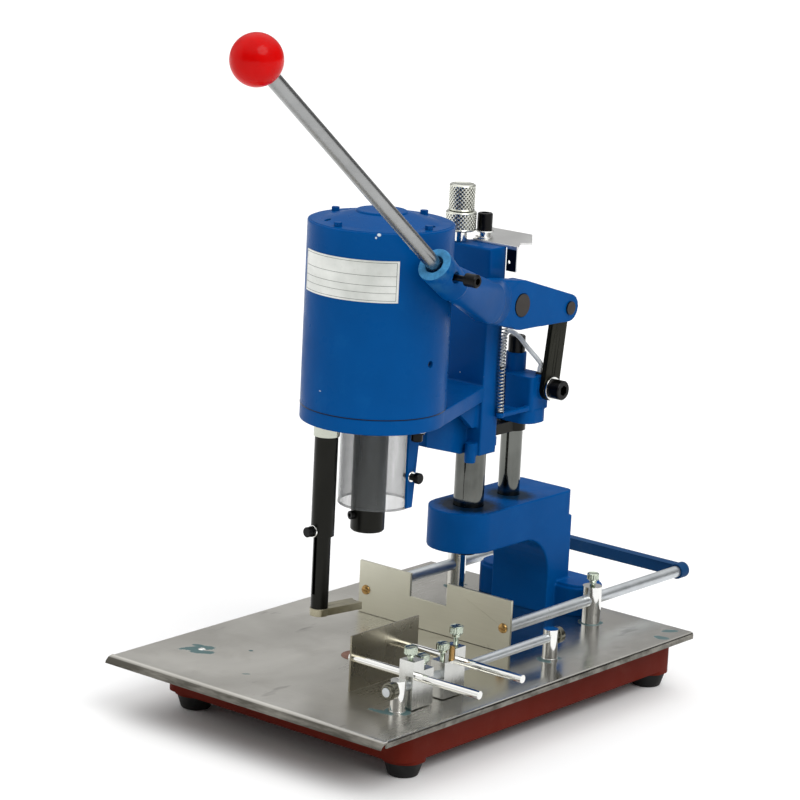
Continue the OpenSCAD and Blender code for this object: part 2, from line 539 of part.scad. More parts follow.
// ---- side gauge ----
module slide_blocks() color([0.66, 0.67, 0.68]) place() for (k = [0, 1]) difference() {
  b0 = k == 0 ? 91 : 138.5;
  yr = k == 0 ? y1 : y2;
  yi = k == 0 ? 112 : 148;
  union() {
    translate([gx - 8.5, b0, 1]) cube([17, 31, 36]);
    translate([gx - 8.5, k == 0 ? b0 : b0 + 15, 36.9]) cube([17, 16, 11]);
  }
  ycyl([gx, b0 - 1, gz], 4.5 + run, 40);
  xcyl([gx - 20, yr, xz], 4 + run, 40);
  zcyl([gx, yr, xz], 2.55, 30);
  zcyl([gx, yi + (k == 0 ? 3 : -3), gz], 2.55, 30);
}
module gauge_screws() color(zinc) place() {
  translate([gx, y1, xz + 4.1]) thumb(2.5, 13, 6.6, 8);
  translate([gx, 115, gz + 4.6]) thumb(2.5, 12, 6.6, 7);
  translate([gx, 145, gz + 4.6]) thumb(2.5, 17, 6.6, 7);
  translate([gx, y2, xz + 4.1]) thumb(2.5, 19, 6.6, 8);
}
module side_plate() color([0.5, 0.48, 0.42]) place() difference() {
  translate([62.6, 90.5, 0.4]) cube([2, 101, gauge_h - 0.4]);
  for (y = [y1, y2]) xcyl([55, y, xz], 2.6, 20);
}
module side_rods() color(chrome) place() for (y = [y1, y2]) {
  xcyl([64.6, y, xz], 4, y == y1 ? 150 : 148);
  xcyl([60.5, y, xz], 2.55, 5);
  xcyl([59.6, y, xz], 4.2, 3);
}

base_casting();
table_sheet();
rubber_feet();
drill_pad();
stand_casting();
front_column();
rear_column();
column_nut();
rear_block();
rear_cap();
link_bolt();
link_washer();
power_lead();
gauge_rod();
gauge_posts();
gauge_nuts();
fence_posts();
fence_post_screws();
head_casting();
guide_arm();
motor_shell();
motor_cover();
cover_screws();
nameplate();
stator();
bearings();
motor_bolts();
presser_nut();
presser_tube();
presser_screw();
guard_cylinder();
guard_bracket();
guard_screw();
pivot_pin();
return_spring();
top_washers();
top_cap_screw();
top_bracket();
rotor_shaft();
chuck();
chuck_screw();
presser_rod();
presser_foot();
presser_spring();
lever_arm();
lever_rod();
ball_knob();
clamp_screw();
link_pin();
link();
depth_screw();
lock_ring();
fence_plate();
fence_screws();
fence_rods();
crossbar();
slide_blocks();
gauge_screws();
side_plate();
side_rods();
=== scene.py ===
import bpy, bmesh, math
from mathutils import Vector, Matrix, noise


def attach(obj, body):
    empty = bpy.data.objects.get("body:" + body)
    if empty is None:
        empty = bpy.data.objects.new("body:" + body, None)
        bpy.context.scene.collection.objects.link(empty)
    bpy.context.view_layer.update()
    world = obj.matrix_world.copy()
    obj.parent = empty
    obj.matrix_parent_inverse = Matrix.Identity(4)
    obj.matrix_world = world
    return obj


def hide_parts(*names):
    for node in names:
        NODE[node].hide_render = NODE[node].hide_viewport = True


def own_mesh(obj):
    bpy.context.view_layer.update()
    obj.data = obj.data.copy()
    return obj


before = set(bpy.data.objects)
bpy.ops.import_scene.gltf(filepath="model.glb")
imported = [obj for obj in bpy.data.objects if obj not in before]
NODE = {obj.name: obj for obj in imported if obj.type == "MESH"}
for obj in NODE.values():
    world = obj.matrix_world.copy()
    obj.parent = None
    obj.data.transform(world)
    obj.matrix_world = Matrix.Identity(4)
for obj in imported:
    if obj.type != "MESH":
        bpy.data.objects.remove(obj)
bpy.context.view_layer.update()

OX, OY, TH = -22.3, -242.65, 61.0        # table frame (mm) to the row frame


def T(x, y, z):
    return Vector(((x + OX) / 1000, (y + OY) / 1000, (z + TH) / 1000))


# ------------------------------------------------------------------ camera
def make_camera():
    a, e, r = (math.radians(v) for v in (38.7155, 13.0975, 2.8175))
    back = Vector((math.sin(a) * math.cos(e), -math.cos(a) * math.cos(e), math.sin(e)))
    right = Vector((math.cos(a), math.sin(a), 0))
    up = back.cross(right)
    rr = right * math.cos(r) + up * math.sin(r)
    uu = up * math.cos(r) - right * math.sin(r)
    cam = bpy.data.objects.new("camera", bpy.data.cameras.new("camera"))
    bpy.context.scene.collection.objects.link(cam)
    m = Matrix((rr, uu, back)).transposed().to_4x4()
    m.translation = T(1900.8, -2145.5, 960.4)
    cam.matrix_world = m
    cam.data.sensor_width = 36.0
    cam.data.lens = 143.94
    cam.data.clip_start = 0.05
    cam.data.clip_end = 100
    bpy.context.scene.camera = cam


make_camera()


# ------------------------------------------------------------------ materials
class Mat:
    """Small helper around one Principled material."""

    def __init__(self, name, color, metallic=0.0, rough=0.5, **kw):
        self.m = bpy.data.materials.new(name)
        self.m.use_nodes = True
        self.t = self.m.node_tree
        self.t.nodes.clear()
        self.out = self.t.nodes.new("ShaderNodeOutputMaterial")
        self.p = self.t.nodes.new("ShaderNodeBsdfPrincipled")
        self.t.links.new(self.p.outputs[0], self.out.inputs[0])
        self.p.inputs["Base Color"].default_value = (*color, 1)
        self.p.inputs["Metallic"].default_value = metallic
        self.p.inputs["Roughness"].default_value = rough
        for k, v in kw.items():
            self.p.inputs[k].default_value = v
        self.color = color
        self.coord = self.t.nodes.new("ShaderNodeTexCoord")

    def n(self, kind, **kw):
        nd = self.t.nodes.new("ShaderNode" + kind)
        for k, v in kw.items():
            setattr(nd, k, v)
        return nd

    def link(self, a, b):
        self.t.links.new(a, b)

    def mapping(self, scale=(1, 1, 1), rot=(0, 0, 0), loc=(0, 0, 0)):
        mp = self.n("Mapping")
        mp.inputs["Scale"].default_value = scale
        mp.inputs["Rotation"].default_value = rot
        mp.inputs["Location"].default_value = loc
        self.link(self.coord.outputs["Object"], mp.inputs["Vector"])
        return mp.outputs[0]

    def noise(self, scale, detail=3.0, rough=0.55, vec=None, dist=0.0):
        nz = self.n("TexNoise")
        nz.inputs["Scale"].default_value = scale
        nz.inputs["Detail"].default_value = detail
        nz.inputs["Roughness"].default_value = rough
        nz.inputs["Distortion"].default_value = dist
        self.link(vec if vec is not None else self.coord.outputs["Object"], nz.inputs["Vector"])
        return nz.outputs["Fac"]

    def voronoi(self, scale, vec=None, feature="F1"):
        v = self.n("TexVoronoi", feature=feature)
        v.inputs["Scale"].default_value = scale
        self.link(vec if vec is not None else self.coord.outputs["Object"], v.inputs["Vector"])
        return v.outputs["Distance"]

    def ramp(self, fac, lo, hi, a=0.0, b=1.0):
        r = self.n("MapRange")
        r.inputs["From Min"].default_value = lo
        r.inputs["From Max"].default_value = hi
        r.inputs["To Min"].default_value = a
        r.inputs["To Max"].default_value = b
        r.clamp = True
        self.link(fac, r.inputs["Value"])
        return r.outputs["Result"]

    def math(self, op, a, b=None, c=None):
        m = self.n("Math", operation=op)
        for i, v in enumerate((a, b, c)):
            if v is None:
                continue
            if isinstance(v, (int, float)):
                m.inputs[i].default_value = v
            else:
                self.link(v, m.inputs[i])
        return m.outputs[0]

    def mix(self, fac, a, b, mode="MIX"):
        mx = self.n("Mix", data_type="RGBA", blend_type=mode)
        for sock, v in ((mx.inputs[0], fac), (mx.inputs[6], a), (mx.inputs[7], b)):
            if isinstance(v, (int, float)):
                sock.default_value = v
            elif isinstance(v, (tuple, list)):
                sock.default_value = (*v[:3], 1)
            else:
                self.link(v, sock)
        return mx.outputs[2]

    def base(self, sock):
        self.link(sock, self.p.inputs["Base Color"])

    def rough(self, sock):
        self.link(sock, self.p.inputs["Roughness"])

    def bump(self, height, strength, dist=0.001, prev=None):
        b = self.n("Bump")
        b.inputs["Strength"].default_value = strength
        b.inputs["Distance"].default_value = dist
        self.link(height, b.inputs["Height"])
        if prev is not None:
            self.link(prev, b.inputs["Normal"])
        self.link(b.outputs[0], self.p.inputs["Normal"])
        return b.outputs[0]

    def pointy(self, lo, hi):
        g = self.n("NewGeometry")
        return self.ramp(g.outputs["Pointiness"], lo, hi)

    def xyz(self):
        s = self.n("SeparateXYZ")
        self.link(self.coord.outputs["Object"], s.inputs[0])
        return s.outputs


def mul(c, k):
    return tuple(min(1.0, v * k) for v in c)


def smart(m, base, amount=0.12, scale=9.0):
    big = m.noise(scale, 3)
    return m.mix(m.ramp(big, 0.3, 0.7), mul(base, 1 - amount), mul(base, 1 + amount))


def blob(m, p, r, soft=0.25, wob=0.0, scale=300):
    """1 inside an ellipsoid round point p (mm, table frame) with radii r (mm)."""
    q = T(*p)
    x, y, z = m.xyz()
    terms = []
    for sock, c, rad in ((x, q.x, r[0]), (y, q.y, r[1]), (z, q.z, r[2])):
        d = m.math("DIVIDE", m.math("SUBTRACT", sock, c), rad / 1000)
        terms.append(m.math("MULTIPLY", d, d))
    d = m.math("SQRT", m.math("ADD", m.math("ADD", terms[0], terms[1]), terms[2]))
    if wob:
        d = m.math("ADD", d, m.math("MULTIPLY", m.math("SUBTRACT", m.noise(scale, 3, 0.6), 0.5), wob))
    return m.ramp(d, 1.0, 1.0 - soft)


def paint(name, color, light, cast=0.0, rough=0.36, chips=0.72, marks=(), extra=None, spec=0.028, worn=True, coat=0.02):
    m = Mat(name, color, 0.0, rough, **{"Specular IOR Level": spec, "Coat Weight": coat, "Coat Roughness": 0.05})
    c = smart(m, color, 0.10, 11.0)
    c = m.mix(m.ramp(m.noise(45, 5, 0.65), 0.56, 0.80, 0, 0.30), c, light)
    if worn:
        rub = m.math("MULTIPLY", m.pointy(0.56, 0.66), m.ramp(m.noise(130, 4, 0.7), 0.50, 0.68))
        c = m.mix(m.math("MULTIPLY", rub, 0.75), c, light)
    speck = m.ramp(m.voronoi(330), 0.055, 0.030)
    gate = m.ramp(m.noise(28, 2), chips, chips + 0.02)
    chip = m.math("MULTIPLY", speck, gate)
    c = m.mix(m.math("MULTIPLY", chip, 0.8), c, (0.42, 0.50, 0.56))
    for p, r, col in marks:
        c = m.mix(blob(m, p, r, 0.35, 0.5), c, col)
    if extra:
        c = extra(m, c)
    m.base(c)
    m.rough(m.ramp(m.noise(38, 4), 0.3, 0.75, rough - 0.06, rough + 0.12))
    peel = m.bump(m.noise(430, 2), 0.06, 0.0003)
    if cast:
        m.bump(m.noise(140, 5, 0.6), cast, 0.0010, peel)
    return m.m


def metal(name, color, rough=0.3, grain=(1, 1, 1), gscale=60, gbump=0.06, vary=0.12, spots=None, dark=0.75, rot=(0, 0, 0), sg=(0.60, 0.72)):
    m = Mat(name, color, 1.0, rough)
    v = m.mapping(grain, rot)
    g = m.noise(gscale, 5, 0.6, v)
    cl = m.noise(14, 4, 0.6)
    c = m.mix(m.ramp(cl, 0.35, 0.7), mul(color, 1.06), mul(color, dark))
    c = m.mix(m.ramp(g, 0.35, 0.7, 0, 0.35), c, mul(color, 1.2))
    if spots:
        sp = m.math("MULTIPLY", m.ramp(m.noise(90, 4, 0.7), *sg), m.ramp(m.noise(11, 2), 0.45, 0.6))
        c = m.mix(sp, c, spots)
    m.base(c)
    m.rough(m.ramp(g, 0.25, 0.8, max(0.02, rough - vary), rough + vary))
    m.bump(g, gbump, 0.0004)
    return m.m


BLUE = (0.0002, 0.066, 0.248)
BLUE_L = (0.006, 0.108, 0.33)
WORN = (0.065, 0.27, 0.52)
RIM_C, RIM_N = T(92, 151.5, 411.4), Vector((0, -0.7804, 0.6252))


def ring_face(m, c):
    """Bare, lighter end face of the rod socket."""
    sub = m.n("VectorMath", operation="SUBTRACT")
    m.link(m.coord.outputs["Object"], sub.inputs[0])
    sub.inputs[1].default_value = RIM_C
    dot = m.n("VectorMath", operation="DOT_PRODUCT")
    m.link(sub.outputs[0], dot.inputs[0])
    dot.inputs[1].default_value = RIM_N
    f = m.ramp(dot.outputs["Value"], -0.0016, -0.0009)
    tone = m.mix(m.ramp(m.noise(160, 5, 0.7), 0.35, 0.65), mul(WORN, 0.78), mul(WORN, 1.15))
    tone = m.mix(m.ramp(m.noise(420, 4, 0.7, m.mapping((1, 0.2, 1))), 0.60, 0.68), tone, BLUE_L)
    c = m.mix(f, c, tone)
    flank = m.ramp(dot.outputs["Value"], -0.034, -0.004, 0.0, 0.55)
    flank = m.math("MULTIPLY", flank, m.ramp(m.noise(75, 4, 0.6), 0.45, 0.62))
    return m.mix(flank, c, (0.035, 0.14, 0.27))


M = {}
# the three small pale spots on the motor shell are painted glints, partly paint chips
M["blue"] = paint("blue_paint_smooth", BLUE, BLUE_L, 0.0, 0.30, 0.78, worn=False,
                  marks=(((43.3, 128.5, 433.9), (2.2, 2.2, 1.8), (0.60, 0.68, 0.72)), ((41.0, 127.2, 431.0), (1.2, 1.2, 1.4), (0.55, 0.62, 0.66)),
                         ((-8.3, 114.2, 277.3), (1.6, 1.0, 0.5), (0.62, 0.68, 0.72))))
# first two marks: painted shade on the arm top under the head, round the columns, partly oil stain
M["blue_cast"] = paint("blue_paint_cast", BLUE, BLUE_L, 0.06, 0.35, 0.74,
                       marks=(((2, 341, 127.3), (39, 37, 4), (0.0014, 0.010, 0.026)), ((4, 408, 127.3), (30, 26, 4), (0.002, 0.018, 0.045)),
                              # last two marks: small pale spots on the head's front edge, painted glints, partly paint
                              # chips
                              ((25.1, 326, 266.4), (0.9, 0.9, 1.3), (0.75, 0.78, 0.80)), ((-5.3, 326, 266.1), (0.8, 0.8, 0.8), (0.5, 0.56, 0.6))))
M["blue_lever"] = paint("blue_paint_lever", BLUE, BLUE_L, 0.05, 0.34, 0.74, extra=ring_face,
                        marks=(((53.0, 300.7, 345.3), (3.0, 1.6, 3.2), (0.004, 0.038, 0.075)), ((58.0, 284, 349.0), (4.5, 2.6, 4.0), (0.004, 0.045, 0.09)),
                               ((66.0, 262, 345.0), (3.0, 4.0, 0.8), (0.02, 0.10, 0.2))))
M["blue_dirty"] = paint("blue_paint_dull", (0.010, 0.052, 0.145), (0.06, 0.11, 0.17), 0.0, 0.42, 0.66, worn=False)
M["red"] = paint("base_paint", (0.118, 0.0125, 0.0062), (0.17, 0.045, 0.028), 0.16, 0.50, 0.70, spec=0.05, coat=0.0)
M["black"] = metal("black_oxide", (0.017, 0.017, 0.017), 0.36, gscale=160, gbump=0.05, vary=0.1)
M["black_soft"] = metal("black_lacquer", (0.019, 0.019, 0.017), 0.34, gscale=90, gbump=0.03, vary=0.08)
M["chrome"] = metal("chrome_plate", (0.80, 0.80, 0.775), 0.085, gscale=30, gbump=0.002, vary=0.04, dark=0.9, spots=(0.40, 0.36, 0.28), sg=(0.70, 0.78))
M["rod"] = metal("satin_bar", (0.33, 0.335, 0.335), 0.26, grain=(1, 0.03, 1), gscale=300, gbump=0.006, vary=0.05, spots=(0.20, 0.19, 0.17), sg=(0.68, 0.78))
M["column"] = metal("ground_column", (0.135, 0.14, 0.13), 0.10, grain=(1, 1, 0.05), gscale=160, gbump=0.01, vary=0.05, dark=0.45, spots=(0.14, 0.13, 0.12))
M["zinc"] = metal("zinc_plate", (0.52, 0.54, 0.47), 0.26, gscale=120, gbump=0.04, vary=0.10, spots=(0.30, 0.21, 0.12), sg=(0.66, 0.74))
M["zinc_green"] = metal("zinc_passivated", (0.50, 0.56, 0.47), 0.20, gscale=120, gbump=0.03, vary=0.08)
M["brass"] = metal("old_brass", (0.44, 0.27, 0.10), 0.34, gscale=140, gbump=0.06, vary=0.12, spots=(0.16, 0.10, 0.05))
M["alu"] = metal("milled_aluminium", (0.66, 0.665, 0.64), 0.24, grain=(1, 1, 0.06), gscale=700, gbump=0.008, vary=0.05)
M["spring"] = metal("spring_wire", (0.46, 0.47, 0.46), 0.18, gscale=140, gbump=0.02, vary=0.06)
M["link"] = metal("link_bar", (0.020, 0.020, 0.014), 0.46, gscale=120, gbump=0.05, vary=0.08)
M["rod2"] = metal("satin_rod", (0.60, 0.63, 0.65), 0.42, gscale=90, gbump=0.004, vary=0.06, spots=(0.26, 0.24, 0.20))
M["pin"] = metal("oxide_pin", (0.052, 0.046, 0.042), 0.42, gscale=160, gbump=0.06, vary=0.12)
M["spindle"] = metal("spindle_steel", (0.022, 0.023, 0.020), 0.34, grain=(1, 1, 0.08), gscale=120, gbump=0.02)
M["olive"] = metal("foot_steel", (0.40, 0.37, 0.27), 0.36, gscale=90, gbump=0.06, vary=0.12, spots=(0.14, 0.11, 0.07))
M["nut"] = metal("plated_nut", (0.15, 0.145, 0.115), 0.20, gscale=90, gbump=0.03, vary=0.08, spots=(0.10, 0.09, 0.07), sg=(0.56, 0.66))
M["core"] = metal("core_steel", (0.25, 0.24, 0.23), 0.5, grain=(1, 1, 30), gscale=60, gbump=0.1)


def knurl_mat(name, radius, z_top):
    """Plated knurl: bright crests, grooves darkened as painted shade, plain top."""
    m = Mat(name, (0.6, 0.6, 0.55), 1.0, 0.24)
    x, y, z = m.xyz()
    q = T(-22, 336, z_top)
    dx = m.math("SUBTRACT", x, q.x)
    dy = m.math("SUBTRACT", y, q.y)
    rad = m.math("SQRT", m.math("ADD", m.math("MULTIPLY", dx, dx), m.math("MULTIPLY", dy, dy)))
    crest = m.ramp(rad, (radius - 0.72) / 1000, (radius - 0.38) / 1000)
    crest = m.math("MAXIMUM", crest, m.ramp(z, q.z - 0.0012, q.z - 0.0004))
    tone = m.mix(m.ramp(m.noise(60, 4), 0.35, 0.7), (0.84, 0.85, 0.77), (0.66, 0.67, 0.59))
    # grooves below the crests take painted shade; crests and the plain top keep the plated tone
    m.base(m.mix(crest, (0.028, 0.026, 0.022), tone))
    m.rough(m.ramp(m.noise(140, 4), 0.3, 0.75, 0.18, 0.34))
    m.bump(m.noise(300, 3), 0.03, 0.0003)
    return m.m


M["knurl"] = knurl_mat("zinc_knurl_knob", 13.2, 453.6)
M["knurl_ring"] = knurl_mat("zinc_knurl_ring", 15.5, 426.3)


def sheet_mat(name, color, shade, rough, along, spots, lip=None):
    """Satin rolled sheet: faint lengthwise grain, slow tone change, handling marks."""
    m = Mat(name, color, 1.0, rough)
    g = m.noise(900, 3, 0.5, m.mapping(along))
    slow = m.noise(9, 2, 0.4)
    c = m.mix(m.ramp(slow, 0.3, 0.7), color, shade)
    c = m.mix(m.ramp(g, 0.4, 0.7, 0, 0.12), c, mul(color, 1.15))
    mark = m.math("MULTIPLY", m.ramp(m.noise(60, 4, 0.7), 0.62, 0.72), m.ramp(m.noise(12, 2), 0.48, 0.6))
    c = m.mix(m.math("MULTIPLY", mark, 0.6), c, spots)
    if lip:
        # painted shade on the face of the hanging lip, below lip.z and left of lip.x; its cut edge keeps the bare sheet
        # colour
        x, y, z = m.xyz()
        f = m.math("MULTIPLY", m.ramp(z, lip.z, lip.z - 0.0004), m.ramp(x, lip.x, lip.x - 0.0003))
        c = m.mix(f, c, (0.010, 0.018, 0.028))
    m.base(c)
    m.rough(m.ramp(m.noise(30, 3), 0.3, 0.7, rough - 0.04, rough + 0.07))
    m.bump(g, 0.012, 0.0003)
    return m.m


M["fence"] = sheet_mat("fence_sheet", (0.60, 0.59, 0.49), (0.50, 0.485, 0.39), 0.36, (0.02, 1, 1), (0.22, 0.19, 0.13))
M["gauge"] = sheet_mat("gauge_sheet", (0.38, 0.355, 0.28), (0.25, 0.23, 0.175), 0.27, (1, 0.02, 1), (0.13, 0.11, 0.07))


# the last argument places the painted shade on the bracket's hanging lip
M["bracket"] = sheet_mat("bracket_sheet", (0.86, 0.86, 0.85), (0.70, 0.70, 0.69), 0.33, (1, 0.02, 1), (0.45, 0.44, 0.42), T(40.2, 348, 394.3))


def rubber():
    m = Mat("foot_rubber", (0.010, 0.0095, 0.009), 0.0, 0.62, **{"Specular IOR Level": 0.25})
    m.base(m.mix(m.ramp(m.noise(40, 4), 0.45, 0.75), (0.008, 0.008, 0.008), (0.028, 0.025, 0.022)))
    m.rough(m.ramp(m.noise(70, 3), 0.3, 0.7, 0.48, 0.72))
    m.bump(m.noise(600, 3), 0.12, 0.0006)
    return m.m


def red_ball():
    m = Mat("red_knob", (0.60, 0.0015, 0.0015), 0.0, 0.16, **{"Coat Weight": 0.10, "Coat Roughness": 0.04, "Specular IOR Level": 0.06})
    m.base(m.mix(m.ramp(m.noise(26, 4), 0.4, 0.7), (0.62, 0.0020, 0.0016), (0.50, 0.0012, 0.0012)))
    m.rough(m.ramp(m.noise(120, 4), 0.35, 0.75, 0.12, 0.26))
    m.bump(m.noise(60, 2), 0.03, 0.0006)
    return m.m


def clear():
    m = Mat("guard_clear", (0.15, 0.16, 0.165), 0.0, 0.08, **{"IOR": 1.45, "Specular IOR Level": 0.9})
    m.rough(m.ramp(m.noise(45, 5, 0.65), 0.45, 0.8, 0.06, 0.20))
    lw = m.n("LayerWeight")
    lw.inputs["Blend"].default_value = 0.35
    haze = m.ramp(m.noise(55, 4, 0.65, m.mapping((1, 1, 0.10))), 0.35, 0.75, 0.0, 0.20)
    a = m.ramp(lw.outputs["Facing"], 0.10, 0.95, 0.14, 0.62)
    m.link(m.math("ADD", a, haze), m.p.inputs["Alpha"])
    m.bump(m.noise(30, 2), 0.02, 0.0005)
    return m.m


def pad_mat():
    m = Mat("pad_fibre", (0.20, 0.085, 0.055), 0.0, 0.7)
    m.base(m.mix(m.ramp(m.noise(120, 5), 0.35, 0.7), (0.13, 0.055, 0.036), (0.25, 0.13, 0.09)))
    m.rough(m.ramp(m.noise(60, 3), 0.3, 0.7, 0.6, 0.8))
    m.bump(m.noise(300, 4), 0.25, 0.0008)
    return m.m


def lead_mat():
    m = Mat("lead_sleeve", (0.62, 0.65, 0.66), 0.0, 0.42)
    m.base(m.mix(m.ramp(m.noise(90, 4), 0.35, 0.7), (0.66, 0.69, 0.70), (0.48, 0.50, 0.51)))
    m.rough(m.ramp(m.noise(140, 3), 0.3, 0.7, 0.35, 0.55))
    m.bump(m.noise(500, 2), 0.08, 0.0004)
    return m.m


def ink_mat():
    m = Mat("rule_ink", (0.03, 0.032, 0.03), 0.0, 0.5)
    m.base(m.mix(m.ramp(m.noise(400, 3), 0.4, 0.7), (0.025, 0.027, 0.025), (0.10, 0.10, 0.095)))
    m.rough(m.ramp(m.noise(200, 2), 0.3, 0.7, 0.4, 0.6))
    return m.m


def table_mat():
    m = Mat("table_stainless", (0.60, 0.585, 0.55), 1.0, 0.2)
    x, y, z = m.xyz()
    g1 = m.noise(700, 4, 0.6, m.mapping((1, 0.02, 1), (0, 0, math.radians(8))))
    g2 = m.noise(500, 4, 0.6, m.mapping((0.02, 1, 1), (0, 0, math.radians(-22))))
    cloud = m.noise(5.5, 5, 0.62, dist=0.6)
    cloud2 = m.noise(23, 4, 0.6, dist=0.4)
    c = m.mix(m.ramp(cloud, 0.36, 0.66), (0.59, 0.572, 0.525), (0.71, 0.692, 0.645))
    c = m.mix(m.ramp(cloud2, 0.50, 0.72, 0, 0.35), c, (0.47, 0.445, 0.40))
    c = m.mix(m.ramp(g1, 0.63, 0.70, 0, 0.45), c, (0.76, 0.75, 0.72))
    c = m.mix(m.ramp(g2, 0.65, 0.71, 0, 0.40), c, (0.74, 0.73, 0.70))
    # dull smudges and rusty shadows of old prints
    sm = m.ramp(m.noise(34, 3, 0.7, m.mapping((1, 0.35, 1), (0, 0, 0.9))), 0.64, 0.75, 0, 0.55)
    c = m.mix(sm, c, (0.22, 0.205, 0.19))
    rust = m.ramp(m.noise(16, 5, 0.7, dist=1.0), 0.66, 0.80, 0, 0.35)
    c = m.mix(rust, c, (0.30, 0.20, 0.15))
    ink = None
    wob = m.math("SUBTRACT", m.noise(85, 4, 0.7), 0.5)
    for px, py, rx, ry, ang, k in SPOTS:
        q = T(px, py, 0)
        ca, sa = math.cos(ang), math.sin(ang)
        dx = m.math("SUBTRACT", x, q.x)
        dy = m.math("SUBTRACT", y, q.y)
        u = m.math("DIVIDE", m.math("ADD", m.math("MULTIPLY", dx, ca), m.math("MULTIPLY", dy, sa)), rx / 1000)
        w = m.math("DIVIDE", m.math("SUBTRACT", m.math("MULTIPLY", dy, ca), m.math("MULTIPLY", dx, sa)), ry / 1000)
        d = m.math("SQRT", m.math("ADD", m.math("MULTIPLY", u, u), m.math("MULTIPLY", w, w)))
        d = m.math("ADD", d, m.math("MULTIPLY", wob, k * 3))
        f = m.ramp(d, 1.15, 0.97)
        ink = f if ink is None else m.math("MAXIMUM", ink, f)
    for rx, ry in RINGS:
        q = T(rx, ry, 0)
        dx = m.math("SUBTRACT", x, q.x)
        dy = m.math("SUBTRACT", y, q.y)
        d = m.math("SQRT", m.math("ADD", m.math("MULTIPLY", dx, dx), m.math("MULTIPLY", dy, dy)))
        d = m.math("ADD", d, m.math("MULTIPLY", wob, 0.006))
        f = m.math("MULTIPLY", m.ramp(d, 0.0132, 0.0122), m.ramp(m.noise(60, 2), 0.40, 0.46))
        ink = m.math("MAXIMUM", ink, f)
    c = m.mix(m.math("MULTIPLY", ink, 0.88), c, (0.004, 0.085, 0.095))
    # painted shade: the rolled edges below the top surface darkened, with streaky noise
    edge_shade = m.mix(m.ramp(m.noise(45, 4, 0.7, m.mapping((0.3, 1, 2))), 0.40, 0.62), (0.085, 0.080, 0.068), (0.22, 0.21, 0.185))
    c = m.mix(m.ramp(z, T(0, 0, -1.6).z, T(0, 0, -0.4).z), edge_shade, c)
    m.base(c)
    m.link(m.ramp(ink, 0.0, 1.0, 1.0, 0.25), m.p.inputs["Metallic"])
    # duller and rougher towards the front left, more polished at the right rear
    pol = m.ramp(m.math("ADD", m.math("MULTIPLY", x, 1.3), y), -0.15, 0.12, 0.30, 0.15)
    r = m.math("ADD", pol, m.ramp(cloud, 0.3, 0.7, -0.04, 0.06))
    r = m.math("ADD", r, m.math("MULTIPLY", m.ramp(g1, 0.3, 0.7), 0.05))
    r = m.math("ADD", r, m.math("MULTIPLY", ink, 0.25))
    m.rough(r)
    b = m.bump(g1, 0.03, 0.0003)
    m.bump(m.noise(8, 2), 0.12, 0.004, b)
    return m.m


SPOTS = [(-126, 84, 17, 7, 0.95, 0.55), (-116, 79, 13, 5, 0.6, 0.55), (-133, 92, 6, 3, 0.4, 0.5), (120, 70, 13, 4, 0.1, 0.7),
         (159, 487.9, 9, 4.2, 0.9, 0.45), (167, 462, 7.5, 5, 0.2, 0.45), (-86, 118, 2, 1.6, 0, 0.5), (-40, 60, 4, 1.2, 0.7, 0.6)]
RINGS = [(131.5, 80), (131.5, 318), (85.5, 450), (-92, 450)]
M["table"] = table_mat()
M["rubber"] = rubber()
M["ball"] = red_ball()
M["clear"] = clear()
M["pad"] = pad_mat()
M["lead"] = lead_mat()
M["ink"] = ink_mat()


def plate_mat():
    m = Mat("plate_aluminium", (0.80, 0.80, 0.76), 0.35, 0.36)
    g = m.noise(900, 4, 0.6, m.mapping((0.05, 0.05, 1)))
    c = m.mix(m.ramp(m.noise(30, 4), 0.35, 0.7), (0.80, 0.815, 0.78), (0.60, 0.62, 0.585))
    c = m.mix(m.ramp(m.noise(80, 5, 0.7), 0.58, 0.70, 0, 0.45), c, (0.42, 0.41, 0.36))
    m.base(c)
    m.rough(m.ramp(g, 0.3, 0.7, 0.30, 0.46))
    m.bump(g, 0.03, 0.0002)
    return m.m


M["plate"] = plate_mat()


def set_mat(o, mat):
    o.data.materials.clear()
    o.data.materials.append(mat)


# ------------------------------------------------------------------ CAD nodes kept
def soften(name, width=0.0004, seg=2, angle=38):
    """Small edge radii on a CAD node, by modifiers only."""
    o = NODE[name]
    w = o.modifiers.new("weld", "WELD")
    w.merge_threshold = 0.00001
    b = o.modifiers.new("bevel", "BEVEL")
    b.width = width
    b.segments = seg
    b.limit_method = "ANGLE"
    b.angle_limit = math.radians(angle)
    b.use_clamp_overlap = True
    for p in o.data.polygons:
        p.use_smooth = True
    n = o.modifiers.new("normals", "WEIGHTED_NORMAL")
    n.mode = "FACE_AREA"
    n.weight = 60
    return o


def cast(name, voxel=0.0013, smooth=5):
    """Cast look: even remesh and rounded edges, by modifiers only."""
    o = NODE[name]
    w = o.modifiers.new("weld", "WELD")
    w.merge_threshold = 0.00001
    r = o.modifiers.new("remesh", "REMESH")
    r.mode = "VOXEL"
    r.voxel_size = voxel
    r.use_smooth_shade = True
    s = o.modifiers.new("smooth", "SMOOTH")
    s.factor = 0.5
    s.iterations = smooth
    return o


